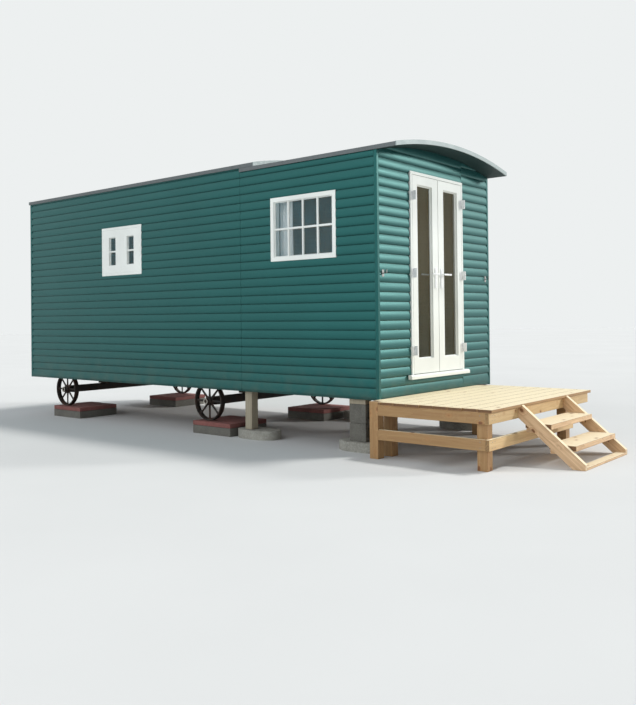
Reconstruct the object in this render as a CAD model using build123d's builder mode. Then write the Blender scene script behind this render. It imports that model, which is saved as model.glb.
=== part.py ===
from build123d import *
import os

# A shepherd's hut in two sections on spoked iron wheels, with a timber deck and steps at its door end.
# Millimetres. +X runs along the hut towards the doors, +Z is up, and the floor it stands on is z = 0.
# The origin is the middle of the whole footprint, at the floor.

# Hut body
hut_length = 6100
hut_width = 2266
front_section = 1850
seam = 2
skirt_z = 523
eave_z = 2947
roof_rise = 128
wall_t = 75
cladding_t = 22
face_in = 14
bead = face_in + cladding_t

# Floor
floor_top = 728
floor_board_t = 22
joist_depth = 78
joist_width = 47
joist_pitch = 430

# Roof
roof_t = 40
roof_lap = 207
roof_lap_gap = 3
roof_end_overhang = 227
roof_rear_overhang = 4
edge_trim_t = 12
edge_trim_drop = 2
seat_gap = 0.3

# Double doors
door_width = 1060
door_cill_z = 692
door_top_z = 2813
door_shift = -28
cill_t = 44
cill_horn = 62
cill_proud = 48
cill_chamfer = 14
door_proud = 12
jamb_face = 30
stop_w = 14
leaf_t = 44
leaf_gap = 5
leaf_bottom_gap = 7
meeting_gap = 8.5
meeting_bevel = 9
hinge_stile = 90
meeting_stile = 110
top_rail = 93
bottom_rail = 151

# Glass and putty lines
glass_t = 6
door_glass_back = 30
window_glass_back = 26

# Hinges, lever handles and hold-back hooks
hinge_pin_proud = 40
knuckle_r = 9
hinge_height = 96
hinge_leaf_t = 3
hinge_wing = 40
hinge_seat_wing = 22
hinge_top_in = 213
hinge_bottom_in = 239
knuckle_gap = 0.5
pin_r = 3
pin_fit = 0.3
knuckle_skin = 2
plate_w = 38
plate_h = 210
plate_t = 8
plate_below = 42
lever_t = 12
lever_len = 122
lever_r = 9
lever_standoff = 46
lever_z = 1773
hook_z = 1753
hook_edge = 92
hook_plate = 34
hook_plate_h = 68
hook_bar = 9
hook_t = 8
hook_reach = 46
hook_bend = 14
hook_tip = 34

# Small window: two casements that meet in the middle
small_window_x = -3984
small_window_w = 808
small_window_bottom = 1894
small_window_h = 620
small_frame_face = 35
casement_gap = 0.3
casement_stile = 115
casement_rail = 94

# Large window: one fixed frame
large_window_x = -950
large_window_w = 885
large_window_bottom = 1930
large_window_h = 678
large_frame_face = 45
window_proud = 16

# Curtain inside the large window
curtain_w = 200
curtain_t = 40
curtain_gap = 30
curtain_top_extra = 60
curtain_drop_extra = 60
rail_r = 8
rail_extra = 90

# Running gear
wheel_r = 225
wheel_w = 64
wheel_rim_t = 16
rim_bite = 2
hub_r = 46
hub_w = 104
spoke_count = 8
spoke_start = 32
spoke_root = 38
spoke_tip = 24
spoke_t = 22
axle_pin_r = 22
axle_fit = 0.3
axle_beam_side = 90
axle_cap_r = 36
axle_cap_t = 14
wheel_inset = 64
rear_axle_x = -5340
front_axle_x = -2470
wheel_seat_gap = 0.3
bearer_depth = 110
bearer_width = 70
bearer_y = 420
bearer_end_inset = 60
bolster_len = 220
slab_len = 620
slab_shift = 120
slab_across = 600
slab_t = 50
hub_z = 372

# Props under the front section
prop = 100
prop_inset = 52
prop_pad_len = 560
prop_pad_across = 320
prop_pad_shift = 60
prop_pad_t = 104
joint_prop_x = -1800
pier_x = -300
pier_w = 200
pier_across = 215
packer_t = 47

# Deck
deck_top = 536
deck_length = 1283
deck_width = 2236
deck_near_out = 190
deck_wall_gap = 0.3
deck_board_t = 27
deck_board_w = 136
deck_board_count = 9
deck_side_lip = 14
deck_front_lip = 33
deck_notch_gap = 2
rim_t = 37
rim_depth = 101
deck_post = 97
corner_post_off = 10
inner_post_in = 18
inner_joists = 5
rail_top = 278
rail_h = 97

# Steps off the deck's outer edge
step_near_in = 573
step_clear = 954
step_out = 576
stringer_t = 45
stringer_w = 112
stringer_drop = 8
stringer_toe = 51
tread_count = 2
tread_rise = 169.5
tread_first = 258
tread_going = 222
tread_depth = 245
tread_t = 47
cleat = 38
cleat_back_in = 10
cleat_front_in = 60
foot_board_t = 22
foot_board_w = 90

# Places that follow from the sizes above
rear_out = roof_rear_overhang + edge_trim_t
deck_reach = deck_wall_gap + deck_length + step_out
whole_length = rear_out + hut_length + deck_reach
door_x = hut_length + rear_out - whole_length / 2
side_out = edge_trim_t
whole_width = deck_near_out + hut_width + side_out
near_y = deck_near_out - whole_width / 2
far_y = near_y + hut_width
mid_y = (near_y + far_y) / 2
rear_x = door_x - hut_length
joint_x = door_x - front_section
rear_eave_z = eave_z + roof_t + roof_lap_gap
cladding_y = near_y + face_in
inner_half = hut_width / 2 - face_in - wall_t
floor_under = floor_top - floor_board_t - joist_depth

os.makedirs("parts", exist_ok=True)


def save(part, label):
    part.label = label
    export_step(part, f"parts/{label}.step")


def timber(x, y, z):
    """A sawn piece between a low and a high x, y and z."""
    with Locations((x[0], y[0], z[0])):
        Box(x[1] - x[0], y[1] - y[0], z[1] - z[0], align=(Align.MIN, Align.MIN, Align.MIN))


def mirrored(y):
    """The pair of low and high y on the far side that answers to one on the near side."""
    return (2 * mid_y - y[1], 2 * mid_y - y[0])


def arch_z(y, eave):
    """Height of the roof's underside at y, on the arc through both eaves and the crown."""
    half = hut_width / 2
    radius = (half ** 2 + roof_rise ** 2) / (2 * roof_rise)
    return eave + roof_rise - radius + (radius ** 2 - (y - mid_y) ** 2) ** 0.5


def under_roof(y_low, y_high, eave, drop):
    """Three points of the arc that lies a drop below the roof's underside."""
    return [(y, arch_z(y, eave) - drop) for y in (y_low, (y_low + y_high) / 2, y_high)]


def long_wall(x_low, x_high, eave, label, far=False, window=None):
    """Boards run from the skirt to the roof; the frame behind them stands on the floor."""
    y_out, y_back, y_in = cladding_y, cladding_y + cladding_t, cladding_y + wall_t
    outline = [
        (y_out, skirt_z),
        (y_out, arch_z(y_out, eave) - seat_gap),
        (y_in, arch_z(y_in, eave) - seat_gap),
        (y_in, floor_top),
        (y_back, floor_top),
        (y_back, skirt_z),
    ]
    if far:
        outline = [(2 * mid_y - y, z) for y, z in outline]
    with BuildPart() as wall:
        with BuildSketch(Plane.YZ.offset(x_low)):
            with BuildLine():
                Polyline(*outline, close=True)
            make_face()
        extrude(amount=x_high - x_low)
        if window:
            x_mid, width, bottom, height = window
            with BuildSketch(Plane.XZ.offset(-y_out)):
                with Locations((x_mid, bottom + height / 2)):
                    Rectangle(width, height)
            extrude(amount=-wall_t, mode=Mode.SUBTRACT)
    save(wall.part, label)


# Long walls
small_x = door_x + small_window_x
large_x = door_x + large_window_x
small_hole = (small_x, small_window_w, small_window_bottom, small_window_h)
large_hole = (large_x, large_window_w, large_window_bottom, large_window_h)
rear_run = (rear_x + bead, joint_x - seam)
front_run = (joint_x, door_x - bead)
long_wall(*rear_run, rear_eave_z, "near_wall_rear", window=small_hole)
long_wall(*front_run, eave_z, "near_wall_front", window=large_hole)
long_wall(*rear_run, rear_eave_z, "far_wall_rear", far=True)
long_wall(*front_run, eave_z, "far_wall_front", far=True)


def end_panel(x_face, inward, y_low, y_high, z_low, z_high, eave, label):
    """Part of an end wall: cladding between the corner beads, frame between the long walls.

    z_high of None carries it up to the roof. Cladding goes below the floor; the frame stands on it.
    """
    layers = (
        (0, cladding_t, near_y + bead, far_y - bead, z_low),
        (cladding_t, wall_t, mid_y - inner_half, mid_y + inner_half, max(z_low, floor_top)),
    )
    with BuildPart() as panel:
        for start, stop, lowest_y, highest_y, bottom in layers:
            if z_high is not None and bottom >= z_high:
                continue
            low, high = max(y_low, lowest_y), min(y_high, highest_y)
            with BuildSketch(Plane.YZ.offset(x_face + inward * start)):
                with BuildLine():
                    if z_high is None:
                        top = ThreePointArc(*under_roof(low, high, eave, seat_gap))
                    else:
                        top = Line((low, z_high), (high, z_high))
                    Polyline(top @ 1, (high, bottom), (low, bottom), top @ 0)
                make_face()
            extrude(amount=inward * (stop - start))
    save(panel.part, label)


# End walls; the one with the doors is split beside and over the doorway
door_y = mid_y + door_shift
door_low, door_high = door_y - door_width / 2, door_y + door_width / 2
door_face = door_x - face_in
end_panel(rear_x + face_in, 1, near_y, far_y, skirt_z, None, rear_eave_z, "rear_wall")
end_panel(door_face, -1, near_y, door_low, skirt_z, None, eave_z, "door_wall_near")
end_panel(door_face, -1, door_high, far_y, skirt_z, None, eave_z, "door_wall_far")
end_panel(door_face, -1, door_low, door_high, door_top_z, None, eave_z, "door_wall_over")
end_panel(door_face, -1, door_low, door_high, skirt_z, door_cill_z, eave_z, "door_wall_under")

# Corner beads
bead_places = [
    (x, y, top)
    for x, top in ((rear_x, rear_eave_z), (door_x - bead, eave_z))
    for y in (near_y, far_y - bead)
]
with BuildPart() as corner_beads:
    for x, y, top in bead_places:
        with BuildSketch(Plane.XY.offset(skirt_z)):
            with Locations((x + bead / 2, y + bead / 2)):
                Rectangle(bead, bead)
        extrude(amount=top - skirt_z - seat_gap)
save(corner_beads.part, "corner_beads")

# Floor: boards on joists that run across the hut
floor_x = (rear_x + face_in + cladding_t, door_face - cladding_t)
floor_y = (cladding_y + cladding_t, 2 * mid_y - cladding_y - cladding_t)
with BuildPart() as floor_boards:
    timber(floor_x, floor_y, (floor_top - floor_board_t, floor_top))
save(floor_boards.part, "floor_boards")

joist_spaces = round((floor_x[1] - floor_x[0] - joist_width) / joist_pitch)
joist_step = (floor_x[1] - floor_x[0] - joist_width) / joist_spaces
with BuildPart() as floor_joists:
    for i in range(joist_spaces + 1):
        x = floor_x[0] + i * joist_step
        timber((x, x + joist_width), floor_y, (floor_under, floor_top - floor_board_t))
save(floor_joists.part, "floor_joists")


def roof_shell(x_low, x_high, eave, label):
    with BuildPart() as shell:
        with BuildSketch(Plane.YZ.offset(x_low)):
            with BuildLine():
                under = ThreePointArc((near_y, eave), (mid_y, eave + roof_rise), (far_y, eave))
                over = ThreePointArc(
                    (far_y, eave + roof_t), (mid_y, eave + roof_rise + roof_t), (near_y, eave + roof_t)
                )
                Line(under @ 1, over @ 0)
                Line(over @ 1, under @ 0)
            make_face()
        extrude(amount=x_high - x_low)
    save(shell.part, label)


# Roofs: the rear one laps over the front one
rear_roof_x = (rear_x - roof_rear_overhang, joint_x + roof_lap)
front_roof_x = (joint_x, door_x + roof_end_overhang)
roof_shell(*rear_roof_x, rear_eave_z, "roof_rear")
roof_shell(*front_roof_x, eave_z, "roof_front")

# The bent metal strips that close the roofs' ends
end_strips = (
    (front_roof_x[1], eave_z),
    (rear_roof_x[1], rear_eave_z),
    (rear_roof_x[0] - edge_trim_t, rear_eave_z),
)
with BuildPart() as roof_end_strips:
    for x, eave in end_strips:
        low, high = eave - edge_trim_drop, eave + roof_t + edge_trim_drop
        with BuildSketch(Plane.YZ.offset(x)):
            with BuildLine():
                under = ThreePointArc(
                    (near_y - edge_trim_t, low), (mid_y, low + roof_rise), (far_y + edge_trim_t, low)
                )
                over = ThreePointArc(
                    (far_y + edge_trim_t, high), (mid_y, high + roof_rise), (near_y - edge_trim_t, high)
                )
                Line(under @ 1, over @ 0)
                Line(over @ 1, under @ 0)
            make_face()
        extrude(amount=edge_trim_t)
save(roof_end_strips.part, "roof_end_strips")

with BuildPart() as eaves_trims:
    for run, eave in ((rear_roof_x, rear_eave_z), (front_roof_x, eave_z)):
        for y in ((near_y - edge_trim_t, near_y), (far_y, far_y + edge_trim_t)):
            timber(run, y, (eave - edge_trim_drop, eave + roof_t))
save(eaves_trims.part, "eaves_trims")

# Door frame: jambs and head with the stop that the leaves close against
jamb_x = (door_face - wall_t, door_x + door_proud)
stop_x = (jamb_x[0], door_x + door_proud - leaf_t - leaf_gap)
cill_top = door_cill_z + cill_t
head_z = (door_top_z - jamb_face, door_top_z)
with BuildPart() as door_jambs:
    for y, stop in (
        ((door_low, door_low + jamb_face), (door_low + jamb_face, door_low + jamb_face + stop_w)),
        ((door_high - jamb_face, door_high), (door_high - jamb_face - stop_w, door_high - jamb_face)),
    ):
        timber(jamb_x, y, (cill_top, head_z[0]))
        timber(stop_x, stop, (cill_top, head_z[0] - stop_w))
save(door_jambs.part, "door_jambs")

with BuildPart() as door_head:
    timber(jamb_x, (door_low, door_high), head_z)
    timber(stop_x, (door_low + jamb_face, door_high - jamb_face), (head_z[0] - stop_w, head_z[0]))
save(door_head.part, "door_head")

with BuildPart() as door_cill:
    timber((jamb_x[0], door_x), (door_low, door_high), (floor_top, cill_top))
    timber((door_face - cladding_t, door_x), (door_low, door_high), (door_cill_z, cill_top))
    timber((door_x, door_x + cill_proud), (door_low - cill_horn, door_high + cill_horn), (door_cill_z, cill_top))
    front = door_cill.edges().filter_by(Axis.Y).group_by(Axis.X)[-1].sort_by(Axis.Z)[-1]
    chamfer(front, cill_chamfer)
save(door_cill.part, "door_cill")

# Door leaves: stiles, rails, glass, projecting hinges and a lever handle on each
leaf_front = door_x + door_proud
leaf_back = leaf_front - leaf_t
leaf_z = (cill_top + leaf_bottom_gap, head_z[0] - leaf_gap)
leaf_width = (door_width - 2 * jamb_face - 2 * leaf_gap - meeting_gap) / 2
pin_x = leaf_front + hinge_pin_proud
glass_x = (leaf_front - door_glass_back - glass_t, leaf_front - door_glass_back)
hinge_high, hinge_low = leaf_z[1] - hinge_top_in, leaf_z[0] + hinge_bottom_in
hinge_mids = (hinge_high, (hinge_high + hinge_low) / 2, hinge_low)


def door_leaf(side, edge_y, label):
    """side is +1 where the leaf reaches from its hinges towards +Y, and -1 where it reaches back."""
    meet_y = edge_y + side * leaf_width
    glass_low = edge_y + side * hinge_stile
    glass_high = meet_y - side * meeting_stile
    glass_z = (leaf_z[0] + bottom_rail, leaf_z[1] - top_rail)
    with BuildPart() as leaf:
        with BuildSketch(Plane.XY.offset(leaf_z[0])):
            with BuildLine():
                Polyline(
                    (leaf_front, edge_y), (leaf_front, meet_y), (leaf_back, meet_y - side * meeting_bevel),
                    (leaf_back, edge_y), close=True,
                )
            make_face()
        extrude(amount=leaf_z[1] - leaf_z[0])
        with BuildSketch(Plane.YZ.offset(leaf_front)):
            with Locations(((glass_low + glass_high) / 2, (glass_z[0] + glass_z[1]) / 2)):
                Rectangle(abs(glass_high - glass_low), glass_z[1] - glass_z[0])
        extrude(amount=-leaf_t, mode=Mode.SUBTRACT)
    save(leaf.part, f"{label}_leaf")

    low, high = sorted((glass_low, glass_high))
    with BuildPart() as pane:
        timber(glass_x, (low, high), glass_z)
    save(pane.part, f"{label}_glass")

    pin_y = edge_y - side * leaf_gap / 2
    with BuildPart() as hinges:
        for z in hinge_mids:
            half = (z, z + hinge_height / 2)
            with BuildSketch(Plane.XY.offset(half[0])):
                with Locations((pin_x, pin_y)):
                    Circle(knuckle_r)
                    Circle(pin_r + pin_fit, mode=Mode.SUBTRACT)
            extrude(amount=hinge_height / 2)
            arm = sorted((pin_y + side * (pin_r + knuckle_skin), pin_y + side * knuckle_r))
            timber((leaf_front, pin_x), arm, half)
            wing = sorted((edge_y, edge_y + side * hinge_wing))
            timber((leaf_front, leaf_front + hinge_leaf_t), wing, (z - hinge_height / 2, z + hinge_height / 2))
    save(hinges.part, f"{label}_hinges")

    spindle_y = meet_y - side * meeting_stile / 2
    with BuildPart() as handle:
        with BuildSketch(Plane.YZ.offset(leaf_front)):
            with Locations((spindle_y, lever_z - plate_below)):
                Rectangle(plate_w, plate_h)
        extrude(amount=plate_t)
        with BuildSketch(Plane.YZ.offset(leaf_front + plate_t)):
            with Locations((spindle_y, lever_z)):
                Circle(lever_r)
        extrude(amount=lever_standoff - plate_t)
        with BuildSketch(Plane.XZ.offset(-(spindle_y + side * lever_r))):
            with Locations((leaf_front + lever_standoff, lever_z)):
                Rectangle(lever_t, 2 * lever_r)
        extrude(amount=side * (lever_len + 2 * lever_r))
    save(handle.part, f"{label}_handle")
    return pin_y


near_pin_y = door_leaf(1, door_low + jamb_face + leaf_gap, "near_door")
far_pin_y = door_leaf(-1, door_high - jamb_face - leaf_gap, "far_door")

# The hinges' fixed halves, on the jambs, with the pins that the leaves turn on
with BuildPart() as door_hinge_seats:
    for side, pin_y in ((1, near_pin_y), (-1, far_pin_y)):
        arm = sorted((pin_y - side * (pin_r + knuckle_skin), pin_y - side * knuckle_r))
        wing = sorted((pin_y - side * pin_r, pin_y - side * (pin_r + hinge_seat_wing)))
        for z in hinge_mids:
            half = (z - hinge_height / 2, z - knuckle_gap)
            with BuildSketch(Plane.XY.offset(half[0])):
                with Locations((pin_x, pin_y)):
                    Circle(knuckle_r)
            extrude(amount=half[1] - half[0])
            with BuildSketch(Plane.XY.offset(half[0])):
                with Locations((pin_x, pin_y)):
                    Circle(pin_r)
            extrude(amount=hinge_height)
            timber((leaf_front, pin_x), arm, half)
            timber((leaf_front, leaf_front + hinge_leaf_t), wing, (z - hinge_height / 2, z + hinge_height / 2))
save(door_hinge_seats.part, "door_hinge_seats")

# Hooks on the wall that hold the open leaves back: a flat bar bent upwards, on a small plate
hook_end = door_x + hook_reach
hook_low = hook_z - hook_bar / 2
with BuildPart() as door_hooks:
    for y in (near_y + hook_edge, far_y - hook_edge):
        with BuildSketch(Plane.YZ.offset(door_face)):
            with Locations((y, hook_z)):
                Rectangle(hook_plate, hook_plate_h)
        extrude(amount=face_in)
        with BuildSketch(Plane.XZ.offset(hook_t / 2 - y)):
            with BuildLine():
                outer = RadiusArc(
                    (hook_end - hook_bend, hook_low), (hook_end, hook_low + hook_bend), -hook_bend
                )
                inner = RadiusArc(
                    (hook_end - hook_bar, hook_low + hook_bend), (hook_end - hook_bend, hook_low + hook_bar),
                    hook_bend - hook_bar,
                )
                Polyline(outer @ 1, (hook_end, hook_z + hook_tip), (hook_end - hook_bar, hook_z + hook_tip), inner @ 0)
                Polyline(inner @ 1, (door_x, hook_low + hook_bar), (door_x, hook_low), outer @ 0)
            make_face()
        extrude(amount=-hook_t)
save(door_hooks.part, "door_hooks")


# Window frames
window_front = cladding_y - window_proud
frame_depth = wall_t + window_proud
small_mid_z = small_window_bottom + small_window_h / 2
large_mid_z = large_window_bottom + large_window_h / 2
with BuildPart() as window_frames:
    for x, z, width, height, face in (
        (small_x, small_mid_z, small_window_w, small_window_h, small_frame_face),
        (large_x, large_mid_z, large_window_w, large_window_h, large_frame_face),
    ):
        with BuildSketch(Plane.XZ.offset(-window_front)):
            with Locations((x, z)):
                Rectangle(width, height)
                Rectangle(width - 2 * face, height - 2 * face, mode=Mode.SUBTRACT)
        extrude(amount=-frame_depth)
save(window_frames.part, "window_frames")

# Small window's casements
small_inner = (small_window_w - 2 * small_frame_face, small_window_h - 2 * small_frame_face)
casement_w = (small_inner[0] - 3 * casement_gap) / 2
casement_h = small_inner[1] - 2 * casement_gap
pane_w = casement_w - 2 * casement_stile
pane_h = casement_h - 2 * casement_rail
casement_xs = [small_x + s * (casement_w + casement_gap) / 2 for s in (-1, 1)]
with BuildPart() as small_casements:
    with BuildSketch(Plane.XZ.offset(-window_front)):
        for x in casement_xs:
            with Locations((x, small_mid_z)):
                Rectangle(casement_w, casement_h)
                Rectangle(pane_w, pane_h, mode=Mode.SUBTRACT)
    extrude(amount=-leaf_t)
save(small_casements.part, "small_window_casements")

# Window glass: two small panes and one large one
pane_y = (window_front + window_glass_back, window_front + window_glass_back + glass_t)
large_pane = (large_window_w - 2 * large_frame_face, large_window_h - 2 * large_frame_face)
panes = [(x, small_mid_z, pane_w, pane_h) for x in casement_xs]
panes.append((large_x, large_mid_z, *large_pane))
with BuildPart() as window_glass:
    for x, z, width, height in panes:
        timber((x - width / 2, x + width / 2), pane_y, (z - height / 2, z + height / 2))
save(window_glass.part, "window_glass")

# Curtain and its rail, inside at the large window's rear side
wall_inner_y = cladding_y + wall_t
rail_y = wall_inner_y + curtain_gap + curtain_t / 2
rail_z = large_window_bottom + large_window_h + curtain_top_extra + rail_r
curtain_x = (large_x - large_window_w / 2, large_x - large_window_w / 2 + curtain_w)
curtain_z = (large_window_bottom - curtain_drop_extra, rail_z - rail_r - seat_gap)
with BuildPart() as curtain:
    timber(curtain_x, (rail_y - curtain_t / 2, rail_y + curtain_t / 2), curtain_z)
save(curtain.part, "curtain")

with BuildPart() as curtain_rail:
    rail_half = large_window_w / 2 + rail_extra
    with BuildSketch(Plane.YZ.offset(large_x - rail_half)):
        with Locations((rail_y, rail_z)):
            Circle(rail_r)
    extrude(amount=2 * rail_half)
    for x in (large_x - rail_half, large_x + rail_half - 2 * rail_r):
        timber((x, x + 2 * rail_r), (wall_inner_y, rail_y), (rail_z - rail_r, rail_z + rail_r))
save(curtain_rail.part, "curtain_rail")


def wheel(x, y_mid, label):
    """A cast spoked wheel: plain rim, tapered spokes and a long hub bored for the axle pin."""
    hub_plane = Plane(origin=(x, y_mid, hub_z), x_dir=(1, 0, 0), z_dir=(0, -1, 0))
    rim_in = wheel_r - wheel_rim_t
    spoke_end = rim_in + rim_bite
    with BuildPart() as casting:
        with BuildSketch(hub_plane.offset(-wheel_w / 2)):
            Circle(wheel_r)
            Circle(rim_in, mode=Mode.SUBTRACT)
        extrude(amount=wheel_w)
        with BuildSketch(hub_plane.offset(-hub_w / 2)):
            Circle(hub_r)
        extrude(amount=hub_w)
        with BuildSketch(hub_plane.offset(-spoke_t / 2)):
            with PolarLocations(0, spoke_count):
                with BuildLine():
                    Polyline(
                        (spoke_start, -spoke_root / 2), (spoke_end, -spoke_tip / 2),
                        (spoke_end, spoke_tip / 2), (spoke_start, spoke_root / 2), close=True,
                    )
                make_face()
        extrude(amount=spoke_t)
        with BuildSketch(hub_plane.offset(-hub_w)):
            Circle(axle_pin_r + axle_fit)
        extrude(amount=2 * hub_w, mode=Mode.SUBTRACT)
    save(casting.part, label)


# Wheels and axles
near_wheel_y = near_y + wheel_inset + wheel_w / 2
far_wheel_y = 2 * mid_y - near_wheel_y
axle_xs = {"rear": door_x + rear_axle_x, "front": door_x + front_axle_x}
pin_half = mid_y - near_wheel_y + hub_w / 2 + seat_gap
beam_half = mid_y - near_wheel_y - hub_w / 2 - seat_gap
for end, x in axle_xs.items():
    wheel(x, near_wheel_y, f"{end}_wheel_near")
    wheel(x, far_wheel_y, f"{end}_wheel_far")

with BuildPart() as axles:
    for x in axle_xs.values():
        across = Plane(origin=(x, mid_y, hub_z), x_dir=(1, 0, 0), z_dir=(0, -1, 0))
        with BuildSketch(across.offset(-beam_half)):
            Rectangle(axle_beam_side, axle_beam_side)
        extrude(amount=2 * beam_half)
        with BuildSketch(across.offset(-pin_half)):
            Circle(axle_pin_r)
        extrude(amount=2 * pin_half)
        for side in (-1, 1):
            with BuildSketch(across.offset(side * pin_half)):
                Circle(axle_cap_r)
            extrude(amount=side * axle_cap_t)
save(axles.part, "axles")

# Bearers under the floor, carried on the axles by bolsters
bearer_z = (floor_under - bearer_depth, floor_under)
bearer_rows = [(mid_y + s * bearer_y - bearer_width / 2, mid_y + s * bearer_y + bearer_width / 2) for s in (-1, 1)]
bearer_x = (rear_x + bearer_end_inset, joint_x - bearer_end_inset)
with BuildPart() as bearers:
    for y in bearer_rows:
        timber(bearer_x, y, bearer_z)
save(bearers.part, "bearers")

with BuildPart() as bolsters:
    for x in axle_xs.values():
        for y in bearer_rows:
            timber((x - bolster_len / 2, x + bolster_len / 2), y, (hub_z + axle_beam_side / 2, bearer_z[0]))
save(bolsters.part, "bolsters")

# Paving slabs under the wheels, on concrete bases
slab_top = hub_z - wheel_r - wheel_seat_gap
slab_xs = [x + slab_shift for x in axle_xs.values()]
slab_ys = (near_y + slab_across / 2, far_y - slab_across / 2)
with BuildPart() as wheel_slabs:
    with Locations(*[(x, y, slab_top - slab_t / 2) for x in slab_xs for y in slab_ys]):
        Box(slab_len, slab_across, slab_t)
save(wheel_slabs.part, "wheel_slabs")

base_t = slab_top - slab_t
with BuildPart() as slab_bases:
    with Locations(*[(x, y, base_t / 2) for x in slab_xs for y in slab_ys]):
        Box(slab_len, slab_across, base_t)
save(slab_bases.part, "slab_bases")

# Props that hold up the front section: timber posts at the joint, block piers at the doors
prop_y = [(near_y + prop_inset, near_y + prop_inset + prop)]
prop_y.append(mirrored(prop_y[0]))
pier_y = [(near_y + prop_inset, near_y + prop_inset + pier_across)]
pier_y.append(mirrored(pier_y[0]))
pier_xs = (door_x + pier_x - pier_w / 2, door_x + pier_x + pier_w / 2)
with BuildPart() as front_bearers:
    for y in prop_y:
        timber((joint_x, door_x - bearer_end_inset), y, bearer_z)
save(front_bearers.part, "front_bearers")

with BuildPart() as prop_timbers:
    for y in prop_y:
        x = door_x + joint_prop_x
        timber((x - prop / 2, x + prop / 2), y, (prop_pad_t, bearer_z[0]))
        timber(pier_xs, y, (bearer_z[0] - packer_t, bearer_z[0]))
save(prop_timbers.part, "prop_timbers")

with BuildPart() as door_end_piers:
    for y in pier_y:
        timber(pier_xs, y, (prop_pad_t, bearer_z[0] - packer_t))
save(door_end_piers.part, "door_end_piers")

pad_xs = (door_x + joint_prop_x + prop_pad_shift, door_x + pier_x)
pad_ys = (near_y + prop_pad_across / 2, far_y - prop_pad_across / 2)
with BuildPart() as prop_pads:
    with Locations(*[(x, y, prop_pad_t / 2) for x in pad_xs for y in pad_ys]):
        Box(prop_pad_len, prop_pad_across, prop_pad_t)
save(prop_pads.part, "prop_pads")

# Deck boards lie across the joists; the first is notched round the corner posts
deck_x = (door_x + deck_wall_gap, door_x + deck_wall_gap + deck_length)
deck_y = (near_y - deck_near_out, near_y - deck_near_out + deck_width)
deck_mid_y = (deck_y[0] + deck_y[1]) / 2
under_boards = deck_top - deck_board_t
rim_x = (deck_x[0], deck_x[1] - deck_front_lip)
rim_y = (deck_y[0] + deck_side_lip, deck_y[1] - deck_side_lip)
rim_z = (under_boards - rim_depth, under_boards)
board_step = (deck_length - deck_board_w) / (deck_board_count - 1)
corner_post_x = (door_x + corner_post_off, door_x + corner_post_off + deck_post)
with BuildPart() as deck_boards:
    for i in range(deck_board_count):
        x = deck_x[0] + i * board_step
        timber((x, x + deck_board_w), deck_y, (under_boards, deck_top))
    notch = (corner_post_x[1] + deck_notch_gap - deck_x[0], deck_side_lip + deck_post + deck_notch_gap)
    for y in (deck_y[0] + notch[1] / 2, deck_y[1] - notch[1] / 2):
        with Locations((deck_x[0] + notch[0] / 2, y, under_boards + deck_board_t / 2)):
            Box(notch[0], notch[1], deck_board_t, mode=Mode.SUBTRACT)
save(deck_boards.part, "deck_boards")


def both_ends(y):
    """The low and high y of a piece of the deck, and of its twin at the deck's other side."""
    return (y, (2 * deck_mid_y - y[1], 2 * deck_mid_y - y[0]))


corner_post_y = (rim_y[0], rim_y[0] + deck_post)
rim_back, rim_front = rim_x[0] + rim_t, rim_x[1] - rim_t
with BuildPart() as deck_end_rims:
    timber((rim_x[0], rim_back), (corner_post_y[1], 2 * deck_mid_y - corner_post_y[1]), rim_z)
    timber((rim_front, rim_x[1]), rim_y, rim_z)
save(deck_end_rims.part, "deck_end_rims")

joist_pitch_y = (rim_y[1] - rim_y[0] - rim_t) / (inner_joists + 1)
joist_ys = [rim_y[0] + i * joist_pitch_y for i in range(1, inner_joists + 1)]
with BuildPart() as deck_joists:
    for y in both_ends((rim_y[0], rim_y[0] + rim_t)):
        timber((corner_post_x[1], rim_front), y, rim_z)
    for y in joist_ys:
        timber((rim_back, rim_front), (y, y + rim_t), rim_z)
save(deck_joists.part, "deck_joists")

# Deck posts: tall ones at the hut's end, short ones behind the rims; the far front one is at the last joist
front_post_y = (rim_y[0] + rim_t, rim_y[0] + rim_t + deck_post)
far_post_y = (joist_ys[-1] - deck_post, joist_ys[-1])
inner_post_y = (near_y + inner_post_in, near_y + inner_post_in + deck_post)
with BuildPart() as deck_posts:
    for y in both_ends(corner_post_y):
        timber(corner_post_x, y, (0, deck_top))
    for y in (front_post_y, far_post_y):
        timber((rim_front - deck_post, rim_front), y, (0, under_boards))
    for y in both_ends(inner_post_y):
        timber((rim_back, rim_back + deck_post), y, (0, under_boards))
save(deck_posts.part, "deck_posts")

# Lower rails along the near side and the front
rail_z_range = (rail_top - rail_h, rail_top)
with BuildPart() as deck_rails:
    timber((corner_post_x[1], rim_front - seat_gap), (rim_y[0], rim_y[0] + rim_t), rail_z_range)
    timber((rim_front, rim_x[1]), (rim_y[0], far_post_y[1]), rail_z_range)
save(deck_rails.part, "deck_rails")

# Steps: the stringers' heads are cut round the boards' overhang, and a plank ties their feet
foot_x = deck_x[1] + step_out
stringer_top = deck_top - stringer_drop
slope = (stringer_top - stringer_toe) / (foot_x - deck_x[1])
stringer_v = stringer_w * (1 + slope ** 2) ** 0.5
head_low = stringer_top + slope * deck_front_lip - stringer_v
heel_x = rim_x[1] + head_low / slope
near_stringer_y = (deck_y[0] + step_near_in, deck_y[0] + step_near_in + stringer_t)
far_stringer_y = (near_stringer_y[1] + step_clear, near_stringer_y[1] + step_clear + stringer_t)
with BuildPart() as step_stringers:
    for y in (near_stringer_y, far_stringer_y):
        with BuildSketch(Plane.XZ.offset(-y[0])):
            with BuildLine():
                Polyline(
                    (rim_x[1], head_low), (rim_x[1], under_boards), (deck_x[1], under_boards),
                    (deck_x[1], stringer_top), (foot_x, stringer_toe), (foot_x, 0), (heel_x, 0), close=True,
                )
            make_face()
        extrude(amount=-stringer_t)
save(step_stringers.part, "step_stringers")

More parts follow.
